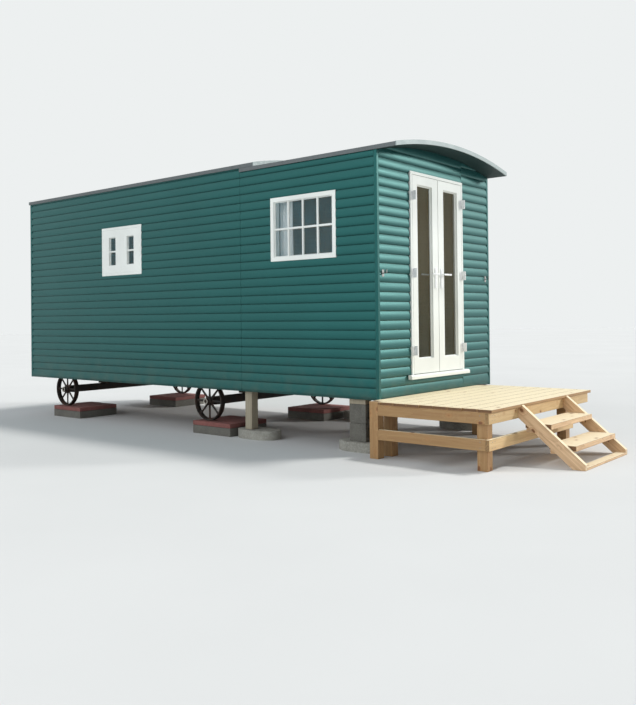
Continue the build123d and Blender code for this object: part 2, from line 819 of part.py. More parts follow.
treads = [
    (deck_x[1] + tread_first + tread_going * i, deck_top - tread_rise * (i + 1)) for i in range(tread_count)
]
tread_y = (near_stringer_y[1], far_stringer_y[0])
with BuildPart() as step_treads:
    for front_x, top in treads:
        timber((front_x - tread_depth, front_x), tread_y, (top - tread_t, top))
save(step_treads.part, "step_treads")

with BuildPart() as tread_cleats:
    for front_x, top in treads:
        for y in ((tread_y[0], tread_y[0] + cleat), (tread_y[1] - cleat, tread_y[1])):
            cleat_x = (front_x - tread_depth + cleat_back_in, front_x - cleat_front_in)
            timber(cleat_x, y, (top - tread_t - cleat, top - tread_t))
save(tread_cleats.part, "tread_cleats")

with BuildPart() as foot_board:
    timber((foot_x - foot_board_w, foot_x), tread_y, (0, foot_board_t))
save(foot_board.part, "foot_board")
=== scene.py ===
import bmesh
import bpy
import math
import random
from mathutils import Matrix, Vector, noise


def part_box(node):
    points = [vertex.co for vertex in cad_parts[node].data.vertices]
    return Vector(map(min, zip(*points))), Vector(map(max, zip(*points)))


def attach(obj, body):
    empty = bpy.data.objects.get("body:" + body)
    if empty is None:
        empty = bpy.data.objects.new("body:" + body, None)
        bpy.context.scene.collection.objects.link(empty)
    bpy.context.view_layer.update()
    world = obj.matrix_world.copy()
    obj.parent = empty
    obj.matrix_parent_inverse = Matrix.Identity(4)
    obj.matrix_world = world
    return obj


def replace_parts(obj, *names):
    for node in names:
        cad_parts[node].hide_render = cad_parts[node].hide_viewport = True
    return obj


# The hut's looks, in metres. X runs along the hut to the doors, Y away from the wall with windows, Z up.
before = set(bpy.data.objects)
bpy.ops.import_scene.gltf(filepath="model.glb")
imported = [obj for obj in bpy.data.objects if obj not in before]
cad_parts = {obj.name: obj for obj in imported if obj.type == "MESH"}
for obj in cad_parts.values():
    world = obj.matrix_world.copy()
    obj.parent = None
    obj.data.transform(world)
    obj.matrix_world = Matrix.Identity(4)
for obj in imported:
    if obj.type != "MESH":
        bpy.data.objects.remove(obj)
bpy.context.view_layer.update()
random.seed(8)

beads_low, beads_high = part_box("corner_beads")
DOOR_X, REAR_X = beads_high.x, beads_low.x
NEAR_Y, FAR_Y = beads_low.y, beads_high.y
MID_Y = (NEAR_Y + FAR_Y) / 2
BEAD = 0.036            # side of the corner beads
WALL_FACE = 0.014       # from the beads' face back to the solid wall's
WALL_T = 0.075
BOARD = 0.0935          # height that one cladding board covers
BOARD_DEPTH = 0.0132    # how far a board's round face stands off the solid wall
LOWEST_GROOVE = 0.63475
DOOR_SIDE_STEP = 0.020  # how much higher the boards beyond the doors lie
EDGE_ANGLE = math.radians(30)


def box(node):
    """A node's lowest and highest corner as six numbers: x, x, y, y, z, z."""
    low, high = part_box(node)
    return low.x, high.x, low.y, high.y, low.z, high.z


def middle_of(node):
    low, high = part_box(node)
    return (low + high) / 2


# ---- Materials
class Material:
    """A node material with a Principled shader, built from short calls."""

    def __init__(self, name, rough=0.5, metal=0.0, tilt=0.0):
        self.made = bpy.data.materials.new(name)
        self.made.use_nodes = True
        self.tree = self.made.node_tree
        self.shader = self.tree.nodes["Principled BSDF"]
        self.shader.inputs["Roughness"].default_value = rough
        self.shader.inputs["Metallic"].default_value = metal
        source = self.node("TexCoord")
        self.coords, self.normal = source.outputs["Object"], source.outputs["Normal"]
        if tilt:
            self.coords, self.normal = (
                self.node("VectorRotate", {"Vector": v, "Angle": tilt}, rotation_type="Y_AXIS").outputs[0]
                for v in (self.coords, self.normal))

    def put(self, socket, value):
        if isinstance(value, bpy.types.NodeSocket):
            self.tree.links.new(value, socket)
        else:
            socket.default_value = value

    def node(self, kind, inputs=None, **props):
        made = self.tree.nodes.new("ShaderNode" + kind)
        for key, value in props.items():
            setattr(made, key, value)
        for key, value in (inputs or {}).items():
            self.put(made.inputs[key], value)
        return made

    def maths(self, how, a, b=0.0):
        return self.node("Math", {0: a, 1: b}, operation=how).outputs[0]

    def times(self, a, b):
        return self.maths("MULTIPLY", a, b)

    def mix(self, factor, a, b):
        """Colour a where the factor is 0 and b where it is 1."""
        return self.node("Mix", {0: factor, 6: a, 7: b}, data_type="RGBA").outputs[2]

    def scaled(self, scale, offset=None):
        """The object's own coordinates, scaled on each axis, and moved by an offset socket."""
        source = self.coords
        if offset is not None:
            source = self.node("VectorMath", {0: source, 1: offset}, operation="ADD").outputs[0]
        return self.node("VectorMath", {0: source, 1: scale}, operation="MULTIPLY").outputs[0]

    def noise(self, vector, scale, detail=4.0, rough=0.55):
        inputs = {"Vector": vector, "Scale": scale, "Detail": detail, "Roughness": rough}
        return self.node("TexNoise", inputs).outputs["Fac"]

    def range(self, value, low, high, out_low=0.0, out_high=1.0):
        """The value's stretch from low to high, mapped to the stretch from out_low to out_high."""
        return self.node("MapRange", {0: value, 1: low, 2: high, 3: out_low, 4: out_high}).outputs[0]

    def place(self):
        """The object's coordinates as x, y and z sockets."""
        return self.node("SeparateXYZ", {0: self.coords}).outputs[:3]

    def facing(self):
        """The piece's own normal as x, y and z sockets."""
        return self.node("SeparateXYZ", {0: self.normal}).outputs[:3]

    def island(self):
        """A number from 0 to 1 that differs for each loose part of a mesh."""
        return self.node("NewGeometry").outputs["Random Per Island"]

    def colour(self, socket):
        self.put(self.shader.inputs["Base Color"], socket)

    def rough(self, socket):
        self.put(self.shader.inputs["Roughness"], socket)

    def bump(self, height, distance, strength=1.0):
        node = self.node("Bump", {"Height": height, "Distance": distance, "Strength": strength})
        self.put(self.shader.inputs["Normal"], node.outputs[0])


def rgb(colour):
    """A written sRGB colour, as three bytes, in the linear values that a shader takes."""
    def linear(byte):
        value = byte / 255
        return value / 12.92 if value <= 0.04045 else ((value + 0.055) / 1.055) ** 2.4
    return tuple(linear(byte) for byte in colour) + (1,)


def shade(colour, share):
    """A written colour with its bytes scaled, in linear values."""
    return rgb(tuple(c * share for c in colour))


def along(axis, low, high):
    """Scale by low along the named axis and by high across it."""
    return tuple(low if name == axis else high for name in "XYZ")


def painted(name, colour, axis, rough=0.36, grain=0.5, dirt=None, courses=None, fleck=0.12, sheen=0.64,
            tint=(0.22, 0.95, 0.88)):
    """Paint on timber with faint grain along one axis. dirt is (low, high, amount) of the splashes low
    down, courses the height of the lowest groove, where grime and painted shade darken the boards'
    edges, fleck the amount of pale specks, and sheen and tint the level and colour of the gloss."""
    m = Material(name, rough)
    drift = m.noise(m.coords, 1.3, 3)
    fibres = m.noise(m.scaled(along(axis, 2.5, 110)), 1.0, 5, 0.65)
    specks = m.noise(m.scaled(along(axis, 18, 60)), 1.0, 4, 0.7)
    tone = m.mix(m.range(drift, 0.3, 0.7), shade(colour, 0.965), shade(colour, 1.03))
    tone = m.mix(m.range(m.island(), 0, 1, 0.0, 0.12), tone, shade(colour, 0.82))
    tone = m.mix(m.range(specks, 0.6, 0.8, 0, fleck), tone, rgb(tuple(min(255, c * 1.15 + 10) for c in colour)))
    m.shader.inputs["Specular IOR Level"].default_value = sheen
    m.shader.inputs["Specular Tint"].default_value = (*tint, 1)
    z = m.place()[2]
    # Painted shade with some grime: each board is darkened at its lowest and highest edge, along the grooves between
    # boards
    if courses is not None:
        share = m.maths("FRACT", m.maths("DIVIDE", m.maths("SUBTRACT", z, courses), BOARD))
        low_edge = m.range(share, 0.02, 0.17, 1, 0)
        high_edge = m.range(share, 0.95, 1.0, 0, 1)
        dust_and_shade = m.times(m.maths("MAXIMUM", low_edge, high_edge), m.range(specks, 0.2, 0.7, 0.45, 0.75))
        tone = m.mix(dust_and_shade, tone, shade(colour, 0.62))
    if dirt:
        low, high, amount = dirt
        wave = m.noise(m.scaled((3, 3, 3)), 2.2, 5)
        splash = m.times(m.range(z, low, high, 1, 0), m.range(wave, 0.35, 0.7))
        tone = m.mix(m.times(splash, amount), tone, rgb(DIRT))
    m.colour(tone)
    m.rough(m.range(fibres, 0.3, 0.75, rough - 0.06, rough + 0.1))
    m.bump(fibres, 0.0012 * grain, 0.5)
    return m.made


def timber(name, pale, dark, axis, rough=0.68, knots=0.8, weathered=0.0, top=None, tilt=0.0):
    """Softwood with rings, streaks and knots along one axis, darker end grain, and pieces that differ.
    knots and weathered are amounts, top is the colour of upper faces, made paler as painted light from
    above, and tilt turns the grain about Y."""
    m = Material(name, rough, tilt=tilt)
    island = m.island()
    spread = m.node("CombineXYZ", {k: m.times(island, far) for k, far in enumerate((3.7, 5.3, 7.9))}).outputs[0]
    # Knots are dark spots, longer than wide, and the rings bend round them
    cell = m.node("TexVoronoi", {"Vector": m.scaled(along(axis, 6.4, 10.0), spread), "Scale": 1.0}, feature="F1")
    near_knot = cell.outputs["Distance"]
    chosen = m.node("SeparateColor", {0: cell.outputs["Color"]}).outputs[0]
    real = m.maths("GREATER_THAN", chosen, 1 - 0.8 * knots)
    wobble = m.noise(m.scaled((1, 1, 1), spread), 14, 4)
    reach = m.maths("ADD", near_knot, m.times(wobble, 0.06))
    knot = m.times(m.range(reach, 0.14, 0.19, 1, 0), real)
    stain = m.times(m.range(reach, 0.15, 0.34, 1, 0), real)
    halo = m.times(m.range(near_knot, 0.1, 0.45, 1, 0), real)
    slow = m.noise(m.scaled(along(axis, 0.4, 5), spread), 1.6, 3, 0.5)
    rings = m.maths("FRACT", m.maths("ADD", m.times(slow, 9), m.times(halo, 2.0)))
    rings = m.maths("POWER", rings, 3.0)
    streaks = m.noise(m.scaled(along(axis, 1.2, 42), spread), 1.0, 5, 0.6)
    fibres = m.noise(m.scaled(along(axis, 6, 230), spread), 1.0, 4, 0.7)
    tone = m.mix(m.range(streaks, 0.3, 0.7), rgb(pale), rgb(tuple(p * 0.6 + d * 0.4 for p, d in zip(pale, dark))))
    tone = m.mix(m.range(rings, 0, 1, 0, 0.42), tone, rgb(dark))
    tone = m.mix(m.range(fibres, 0.35, 0.7, 0, 0.22), tone, shade(dark, 0.85))
    tone = m.mix(m.range(island, 0, 1, 0.0, 0.28), tone, shade(pale, 0.86))
    if top:
        # Upper faces turn towards the top colour: painted light from above
        tone = m.mix(m.range(m.facing()[2], 0.4, 0.9, 0, 0.8), tone, rgb(top))
    if weathered:
        grey = m.noise(m.scaled(along(axis, 1.5, 14), spread), 1.3, 5)
        tone = m.mix(m.range(grey, 0.3, 0.7, weathered * 0.4, weathered), tone, rgb(SILVERED))
    tone = m.mix(m.times(stain, 0.4), tone, rgb(KNOT_STAIN))
    tone = m.mix(m.times(knot, 0.85), tone, rgb(KNOT))
    ends = m.maths("ABSOLUTE", m.facing()["XYZ".index(axis)])
    end_rings = m.maths("FRACT", m.times(m.noise(m.scaled((1, 1, 1), spread), 7, 1), 14))
    end_tone = m.mix(end_rings, shade(dark, 0.84), shade(dark, 0.68))
    tone = m.mix(m.range(ends, 0.75, 0.9), tone, end_tone)
    m.colour(tone)
    m.rough(m.range(fibres, 0.3, 0.7, rough - 0.1, rough + 0.12))
    m.bump(m.maths("ADD", m.times(fibres, 0.6), m.times(streaks, 0.5)), 0.0014, 0.7)
    return m.made


def masonry(name, colours, size=0.007, rough=0.9, pits=0.0016):
    """Pressed paving or concrete. colours are two tones of its stains and one of its specks, size is the
    specks' and pits the depth of its bump."""
    m = Material(name, rough)
    flecks = m.node("TexVoronoi", {"Vector": m.coords, "Scale": 1 / size}, feature="F1").outputs["Color"]
    fleck = m.node("SeparateColor", {0: flecks}).outputs[0]
    stain = m.noise(m.coords, 4.5, 6, 0.6)
    fine = m.noise(m.coords, 90, 4, 0.7)
    tone = m.mix(m.range(stain, 0.32, 0.68), rgb(colours[0]), rgb(colours[1]))
    tone = m.mix(m.range(fleck, 0.55, 1.0, 0, 0.4), tone, rgb(colours[2]))
    m.colour(tone)
    m.bump(m.maths("ADD", fine, m.times(fleck, 0.3)), pits, 0.8)
    return m.made


def metal(name, colour, rough, metallic, spots=None, amount=0.0, bump=0.0004, scale=12):
    """Metal or coated metal with uneven gloss and, where spots are given, stains or rust."""
    m = Material(name, rough, metallic)
    patch = m.noise(m.coords, scale, 6, 0.65)
    fine = m.noise(m.coords, scale * 14, 3, 0.6)
    tone = m.mix(m.range(patch, 0.3, 0.7), shade(colour, 0.88), rgb(colour))
    if spots:
        mask = m.range(m.maths("ADD", patch, m.times(fine, 0.25)), 0.66 - 0.2 * amount, 0.78)
        tone = m.mix(m.times(mask, amount), tone, rgb(spots))
    m.colour(tone)
    m.rough(m.range(patch, 0.3, 0.7, rough - 0.08, rough + 0.12))
    m.bump(fine, bump, 0.6)
    return m.made


# Colours are sRGB, as three bytes each
GREEN, WHITE = (27, 71, 70), (238, 241, 236)
DIRT, SILVERED, KNOT_STAIN, KNOT = (98, 92, 76), (140, 136, 122), (176, 118, 66), (112, 68, 38)
LINING_PALE, LINING_DARK, LINING_SEAM = (186, 172, 136), (162, 146, 110), (110, 90, 62)
# The tops' colours make upper faces paler: painted light from above
PINE, PINE_DARK, PINE_LIT_TOP = (178, 143, 96), (140, 96, 56), (247, 235, 200)
# The steps' pine is a paler copy of the pine: painted light on the steps
LIT_STEP_PINE, LIT_STEP_TOP = (240, 206, 164), (240, 227, 194)

on_green = {"colour": GREEN, "dirt": (0.52, 0.95, 0.3)}
green_x = painted("green_boards_x", axis="X", courses=LOWEST_GROOVE, **on_green)
green_y = painted("green_boards_y", axis="Y", courses=LOWEST_GROOVE, **on_green)
green_far_y = painted("green_boards_far_y", axis="Y", courses=LOWEST_GROOVE + DOOR_SIDE_STEP, **on_green)
green_z = painted("green_paint_z", axis="Z", **on_green)
white_x, white_y, white_z = (
    painted(f"white_paint_{a}", WHITE, a.upper(), 0.45, 0.2, fleck=0.0, sheen=0.15, tint=(1, 1, 1)) for a in "xyz")


def timbers(name, *look, **more):
    """The same timber with its grain along each axis."""
    return {a: timber(f"{name}_{a}", *look[:2], a, *look[2:], **more) for a in "XYZ"}


floor_wood = timber("floor_pine", (168, 128, 84), (120, 84, 50), "X", 0.45, 0.4)
under_wood = timbers("under_timber", (84, 66, 48), (52, 40, 30), 0.8, 0.3)
pine = timbers("pine", PINE, PINE_DARK, 0.6, 0.8, top=PINE_LIT_TOP)
plank_pine = timbers("plank_pine", PINE, PINE_DARK, 0.6, 0.2, top=PINE_LIT_TOP)
# A paler copy of the pine for the deck's front rim and rail: painted light
lit_front_pine = timbers("lit_front_pine", (232, 201, 150), (184, 144, 92), 0.6, 0.8, top=PINE_LIT_TOP)
# The steps get the paler copy of the pine: painted light
lit_step_pine = timbers("lit_step_pine", LIT_STEP_PINE, PINE_DARK, 0.6, 0.9, top=LIT_STEP_TOP)
STEPS_RISE, STEPS_OUT = 0.477, 0.576
lit_step_slope = timber("lit_step_pine_slope", LIT_STEP_PINE, PINE_DARK, "X", 0.6, 1.0, top=LIT_STEP_TOP,
                    tilt=-math.atan2(STEPS_RISE, STEPS_OUT))
old_pine = timber("old_post", (188, 176, 152), (120, 106, 84), "Z", 0.8, 0.5, weathered=0.45)
red_stone = masonry("red_paving", ((136, 84, 78), (112, 70, 66), (156, 112, 104)))
grey_stone = masonry("concrete", ((108, 106, 98), (88, 86, 80), (130, 128, 120)))
rough_stone = masonry("rough_pad", ((164, 162, 152), (126, 124, 116), (186, 184, 174)), 0.011, 0.92, 0.003)
iron = metal("cast_iron", (31, 28, 25), 0.6, 0.3, (84, 56, 40), 0.5, 0.0012)
worn_steel = metal("worn_steel", (176, 172, 162), 0.45, 0.6, (120, 96, 74), 0.4, 0.0006, 30)
bright_strip = metal("bright_strip", (146, 157, 157), 0.5, 0.3, bump=0.0002, scale=6)
grey_trim = metal("grey_trim", (104, 110, 112), 0.5, 0.5, (82, 86, 84), 0.4, 0.0003, 6)
white_enamel = metal("white_enamel", (248, 250, 250), 0.4, 0.0, bump=0.0001, scale=20)
zinc = metal("zinc_plate", (150, 152, 150), 0.4, 0.8, (112, 108, 100), 0.3, 0.0002, 40)


def glass_material(name, tint, least, most):
    """Clear panes with sharp reflections and a dark tint that is painted reflection. least and most bound how much
    they hide.
    """
    m = Material(name, 0.03)
    dust_and_shade = m.noise(m.coords, 3.0, 5, 0.65)
    m.colour(m.mix(m.range(dust_and_shade, 0.3, 0.8), rgb(tint), rgb(tuple(c + 26 for c in tint))))
    m.rough(m.range(dust_and_shade, 0.3, 0.8, 0.02, 0.06))
    m.put(m.shader.inputs["Alpha"], m.range(dust_and_shade, 0.3, 0.8, least, most))
    m.shader.inputs["IOR"].default_value = 1.5
    return m.made


def roof_material():
    """Dark sheet above, green boards under the overhang, darkened as painted shade, and pale boards inside."""
    m = Material("roof_covering", 0.6)
    patch = m.noise(m.coords, 2.4, 5)
    grit = m.noise(m.coords, 160, 3, 0.7)
    sheet = m.mix(m.range(patch, 0.3, 0.7), rgb((88, 92, 94)), rgb((112, 116, 116)))
    down = m.range(m.facing()[2], -0.55, -0.45, 1, 0)
    inside = m.maths("LESS_THAN", m.place()[0], DOOR_X - WALL_T)
    # Under the overhang the green is darkened: painted shade
    soffit = m.mix(inside, shade(GREEN, 0.66), rgb((206, 186, 148)))
    m.colour(m.mix(down, sheet, soffit))
    m.rough(m.range(patch, 0.3, 0.7, 0.5, 0.72))
    m.bump(grit, 0.0006, 0.6)
    return m.made


# The tints are painted reflection: olive in the doors and blue-green in the window
door_glass = glass_material("door_glass", (48, 60, 44), 0.18, 0.24)
window_glass = glass_material("window_glass", (56, 136, 158), 0.10, 0.15)
roof_sheet = roof_material()


# ---- Mesh tools
TINY, NEAR_END = 1e-4, 0.001    # how near a point lies to a face or to an end that it belongs to


def linked(name, data):
    """A new object in the scene."""
    made = bpy.data.objects.new(name, data)
    bpy.context.scene.collection.objects.link(made)
    return made


def finished(mesh, name, material, body, angle):
    """A piece of the hut made from a mesh, smooth where its faces meet at less than the angle. Each
    face keeps its place in a list of materials."""
    indices = [p.material_index for p in mesh.polygons]
    mesh.materials.clear()
    for each in material if isinstance(material, list) else [material]:
        mesh.materials.append(each)
    mesh.polygons.foreach_set("material_index", indices)
    mesh.polygons.foreach_set("use_smooth", [True] * len(mesh.polygons))
    mesh.set_sharp_from_angle(angle=math.radians(angle))
    piece = linked(name, mesh)
    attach(piece, body)
    return piece


def mesh_piece(name, verts, faces, material, body, angle):
    """A piece made from points and faces, which are turned outwards."""
    mesh = bpy.data.meshes.new(name)
    mesh.from_pydata(verts, [], faces)
    mesh.validate()
    shape = bmesh.new()
    shape.from_mesh(mesh)
    bmesh.ops.recalc_face_normals(shape, faces=shape.faces)
    shape.to_mesh(mesh)
    shape.free()
    return finished(mesh, name, material, body, angle)


def shape_piece(shape, name, material, body, slot, width, segments):
    """A piece made from a copy of a CAD shape, with its arrises softened."""
    sharp = [e for e in shape.edges if len(e.link_faces) == 2 and e.calc_face_angle(0) > EDGE_ANGLE]
    bmesh.ops.bevel(shape, geom=sharp, offset=width, segments=segments, profile=0.6, affect="EDGES",
                    clamp_overlap=True)
    mesh = bpy.data.meshes.new(name)
    shape.to_mesh(mesh)
    shape.free()
    return finished(mesh, name, material, body, 60)


def islands(shape):
    """The separate solids of a bmesh, as lists of vertices."""
    left = set(shape.verts)
    found = []
    for start in shape.verts:
        if start not in left:
            continue
        left.discard(start)
        group, queue = [], [start]
        while queue:
            vert = queue.pop()
            group.append(vert)
            for edge in vert.link_edges:
                other = edge.other_vert(vert)
                if other in left:
                    left.discard(other)
                    queue.append(other)
        found.append(group)
    return found


def copied(node):
    """A bmesh of a CAD node with plain faces joined up again."""
    shape = bmesh.new()
    shape.from_mesh(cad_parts[node].data)
    bmesh.ops.remove_doubles(shape, verts=shape.verts, dist=1e-5)
    bmesh.ops.dissolve_limit(shape, angle_limit=math.radians(1), verts=shape.verts, edges=shape.edges)
    return shape


def solids(node):
    """The lowest and highest corner of each solid of a CAD node."""
    shape = copied(node)
    found = [tuple(Vector(pick(v.co[k] for v in group) for k in range(3)) for pick in (min, max))
             for group in islands(shape)]
    shape.free()
    return found


def dressed(node, material, name, slot, body="hut", width=0.002, segments=2, ragged=None):
    """A copy of a CAD node with its arrises softened, which stands for it. Where the material is one
    for each axis, every solid gets the one along its longest side. ragged is (axis, least, most): how far
    each solid's two ends along that axis are drawn in."""
    shape = copied(node)
    groups = islands(shape)
    if ragged:
        axis, least, most = ragged
        for group in groups:
            low, high = min(v.co[axis] for v in group), max(v.co[axis] for v in group)
            cuts = random.uniform(least, most), random.uniform(least, most)
            for v in group:
                if v.co[axis] < low + NEAR_END:
                    v.co[axis] += cuts[0]
                elif v.co[axis] > high - NEAR_END:
                    v.co[axis] -= cuts[1]
    if isinstance(material, dict):
        for group in groups:
            sides = [max(v.co[k] for v in group) - min(v.co[k] for v in group) for k in range(3)]
            for v in group:
                for face in v.link_faces:
                    face.material_index = sides.index(max(sides))
        material = [material[a] for a in "XYZ"]
    piece = shape_piece(shape, name, material, body, slot, width, segments)
    piece.modifiers.new("soften", "WEIGHTED_NORMAL").keep_sharp = True
    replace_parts(piece, node)


def rough_blocks(node, material, name, slot, cell, wear, sink=0.0):
    """Blocks of cells about as large as said, with uneven faces and chipped edges, all within the CAD
    solid. wear is the deepest chip, and sink rounds the plan's corners."""
    made = Build()
    for low, high in solids(node):
        block = bmesh.new()
        bmesh.ops.create_cube(block, size=1)
        size = [h - l for l, h in zip(low, high)]
        for v in block.verts:
            v.co = Vector(l + (c + 0.5) * s for l, c, s in zip(low, v.co, size))
        for axis in range(3):
            cuts = max(2, round(size[axis] / cell))
            for k in range(1, cuts):
                at = Vector(low)
                at[axis] += size[axis] * k / cuts
                bmesh.ops.bisect_plane(block, geom=block.verts[:] + block.edges[:] + block.faces[:], plane_co=at,
                                       plane_no=[int(axis == n) for n in range(3)])
        middle = Vector((l + h) / 2 for l, h in zip(low, high))
        for v in block.verts:
            on = [min(abs(v.co[k] - low[k]), abs(v.co[k] - high[k])) < TINY for k in range(3)]
            on_base = v.co.z < low[2] + TINY
            bite = noise.noise(v.co * 19) * 0.5 + 0.5
            coarse = noise.noise(v.co * 5 + Vector((7, 3, 1))) * 0.5 + 0.5
            amount = wear * (0.25 * coarse + (0.9 if sum(on) > 1 else 0.15) * bite)
            inward = middle - v.co
            for k in range(3):
                if on[k] and not (k == 2 and on_base):
                    v.co[k] += math.copysign(amount, inward[k])
            if sink:
                away = [(v.co[k] - middle[k]) / (size[k] / 2) for k in (0, 1)]
                corner = max(0.0, away[0] ** 2 + away[1] ** 2 - 1.0)
                for k in (0, 1):
                    v.co[k] -= away[k] * size[k] / 2 * corner * sink
        index = {v: i for i, v in enumerate(block.verts)}
        made.add([v.co.copy() for v in block.verts], [[index[v] for v in f.verts] for f in block.faces])
        block.free()
    piece = made.piece(name, material, slot, angle=40)
    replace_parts(piece, node)


class Build:
    """Collects bars, discs and turned shapes into one mesh."""

    def __init__(self):
        self.verts, self.faces = [], []

    def add(self, verts, faces):
        base = len(self.verts)
        self.verts += [Vector(v) for v in verts]
        self.faces += [[base + i for i in face] for face in faces]

    def bar(self, profile, start, end, side, out):
        """A closed profile of (across, out) points, drawn from start to end."""
        start, end, side, out = Vector(start), Vector(end), Vector(side), Vector(out)
        ring = len(profile)
        verts = [p + side * a + out * b for p in (start, end) for a, b in profile]
        faces = [[i, (i + 1) % ring, ring + (i + 1) % ring, ring + i] for i in range(ring)]
        faces += [list(range(ring))[::-1], [ring + i for i in range(ring)]]
        self.add(verts, faces)

    def disc(self, centre, axis, radius, height, sides):
        """A short round piece standing on centre along axis, with a crowned top."""
        axis = Vector(axis)
        turn = axis.to_track_quat("Z", "Y").to_matrix()
        verts, faces = [], []
        for r, h in ((radius, 0), (radius, height * 0.6), (radius * 0.72, height)):
            for i in range(sides):
                a = 2 * math.pi * i / sides
                verts.append(Vector(centre) + turn @ Vector((r * math.cos(a), r * math.sin(a), h)))
        verts.append(Vector(centre) + axis * height)
        for k in range(2):
            for i in range(sides):
                j = (i + 1) % sides
                faces.append([k * sides + i, k * sides + j, (k + 1) * sides + j, (k + 1) * sides + i])
        tip = len(verts) - 1
        for i in range(sides):
            faces.append([2 * sides + i, 2 * sides + (i + 1) % sides, tip])
        faces.append(list(range(sides))[::-1])
        self.add(verts, faces)

    def loft(self, rings, closed=False):
        """Rings of equally many points, joined; the ends are capped unless the last joins the first."""
        count = len(rings[0])
        verts = [p for ring in rings for p in ring]
        faces = []
        for i in range(len(rings) if closed else len(rings) - 1):
            j = (i + 1) % len(rings)
            for k in range(count):
                n = (k + 1) % count
                faces.append([i * count + k, i * count + n, j * count + n, j * count + k])
        if not closed:
            faces += [list(range(count))[::-1], [len(verts) - count + k for k in range(count)]]
        self.add(verts, faces)

    def lathe(self, profile, centre, axis, sides):
        """A closed profile of (radius, along) turned once round the axis."""
        turn = Vector(axis).to_track_quat("Z", "Y").to_matrix()
        rings = []
        for i in range(sides):
            a = 2 * math.pi * i / sides
            rings.append([Vector(centre) + turn @ Vector((r * math.cos(a), r * math.sin(a), h)) for r, h in profile])
        self.loft(rings, closed=True)

    def piece(self, name, material, slot, body="hut", angle=35):
        return mesh_piece(name, self.verts, self.faces, material, body, angle)


# ---- Log-lap boards
# A board's face from its lower edge to its upper edge: share of the cover, share of the depth
LOG_FACE = ((0.0, 0.03), (0.032, 0.03), (0.04, 0.44), (0.08, 0.70), (0.14, 0.88), (0.24, 0.98), (0.36, 1.0),
            (0.5, 0.96), (0.64, 0.86), (0.78, 0.70), (0.9, 0.50), (1.0, 0.28))
STEP, STEP_AT_ROOF = 0.16, 0.02    # spacing of the points along a board
MAX_BOW = 0.0005                   # how far a board strays from straight
THINNEST = 0.0004                  # least depth of a board's face
LEAST_STRIP, LEAST_END = 0.002, 0.001


def log_depth(share):
    for (a, da), (b, db) in zip(LOG_FACE, LOG_FACE[1:]):
        if share <= b:
            return BOARD_DEPTH * (da + (db - da) * (share - a) / (b - a))
    return BOARD_DEPTH * LOG_FACE[-1][1]


def board_rows(top, groove):
    """Low and high of each board from the skirt to the top, and of the full board that it is cut from.
    The lowest board is a wide one, from the skirt to the lowest groove."""
    rows = [(SKIRT, groove, SKIRT, groove)]
    for k in range(math.ceil((top - groove) / BOARD)):
        low, high = groove + BOARD * k, groove + BOARD * (k + 1)
        rows.append((low, min(high, top), low, high))
    return rows


def board_runs(low, high, areas):
    """The stretches of one board in the areas, with neighbours of equal height joined into one."""
    runs = []
    for start, stop, area_low, area_high in areas:
        z0, z1 = max(low, area_low), min(high, area_high)
        if z1 - z0 < LEAST_STRIP:
            continue
        if runs and runs[-1][1:] == (start, z0, z1):
            start = runs.pop()[0]
        runs.append((start, stop, z0, z1))
    return runs


def boards(name, areas, top_at, point, material, groove=LOWEST_GROOVE):
    """Boards over a wall. areas are (start, stop, low, high), top_at gives the boards' highest point
    along the wall, and point(run, out, z) places a point."""
    made = Build()
    top = max(top_at(run) for start, stop, *_ in areas for run in (start, stop, (start + stop) / 2))
    for low, high, full_low, full_high in board_rows(top, groove):
        full = full_high - full_low
        for start, stop, z0, z1 in board_runs(low, high, areas):
            step = STEP_AT_ROOF if min(top_at(start), top_at(stop)) < z1 else STEP
            steps = max(2, round((stop - start) / step))
            places = [start + (stop - start) * i / steps for i in range(steps + 1)]
            levels = [full_low + full * share for share, _ in LOG_FACE]
            levels = sorted({z0, z1, *(z for z in levels if z0 < z < z1)})
            bow = [random.uniform(-MAX_BOW, MAX_BOW) for _ in range(3)]
            columns = []
            for run in places:
                ceiling = top_at(run)
                if ceiling <= z0 + LEAST_END:
                    continue
                sway = bow[0] * math.sin(run * 1.7 + bow[1] * 9000) + bow[2] * math.sin(run * 4.1)
                cuts = [min(z, ceiling) for z in levels]
                face = [point(run, max(THINNEST, log_depth((z - full_low) / full) + sway * 0.5), z) for z in cuts]
                columns.append([point(run, 0.0, cuts[0]), *face, point(run, 0.0, cuts[-1])])
            if len(columns) > 1:
                made.loft(columns)
    made.piece(name, material, "cladding", angle=50)


def clear_of(start, stop, low, high, holes):
    """The areas that are left of a wall when its holes are taken out."""
    edges = sorted({start, stop, *(e for h in holes for e in h[:2] if start < e < stop)})
    areas = []
    for a, b in zip(edges, edges[1:]):
        blocked = sorted((h[2], h[3]) for h in holes if h[0] < (a + b) / 2 < h[1])
        base = low
        for z0, z1 in blocked:
            if z0 > base:
                areas.append((a, b, base, z0))
            base = max(base, z1)
        areas.append((a, b, base, high))
    return areas


def under_arch(y, eave):
    """Height of the boards' upper edge at y, just below the roof's arc."""
    return eave + ROOF_RISE - ROOF_R + math.sqrt(ROOF_R ** 2 - (y - MID_Y) ** 2) - TOP_GAP


